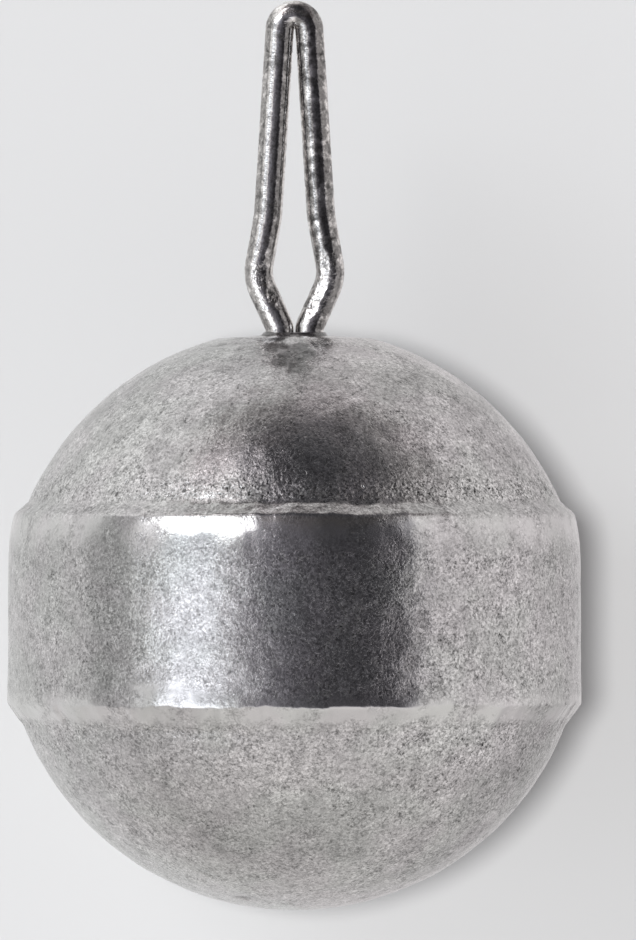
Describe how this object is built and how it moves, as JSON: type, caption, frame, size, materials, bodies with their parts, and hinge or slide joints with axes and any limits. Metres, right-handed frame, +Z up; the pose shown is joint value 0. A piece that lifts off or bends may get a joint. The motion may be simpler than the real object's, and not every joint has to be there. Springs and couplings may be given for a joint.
{
  "type": "fishing sinker",
  "caption": "Round lead sinker with a raised band round its waist and a bent wire line clip whose narrow top jams a fishing line.",
  "frame": {"origin": "centre of the line clip's top bend, where the line jams and from which the sinker hangs", "axes": "+Z up the sinker's axis, from the ball to the clip's top; the clip's two legs lie side by side along X, and a line goes through the clip along Y"},
  "size_m": [0.0152, 0.0152, 0.0241],
  "materials": {
    "lead": "dull grey cast lead, fine grain",
    "wire": "drawn spring wire, dull with rough tool marks at the bends"
  },
  "bodies": {
    "root": {"lead_body": "lead", "line_clip": "wire"}
  },
  "joints": []
}
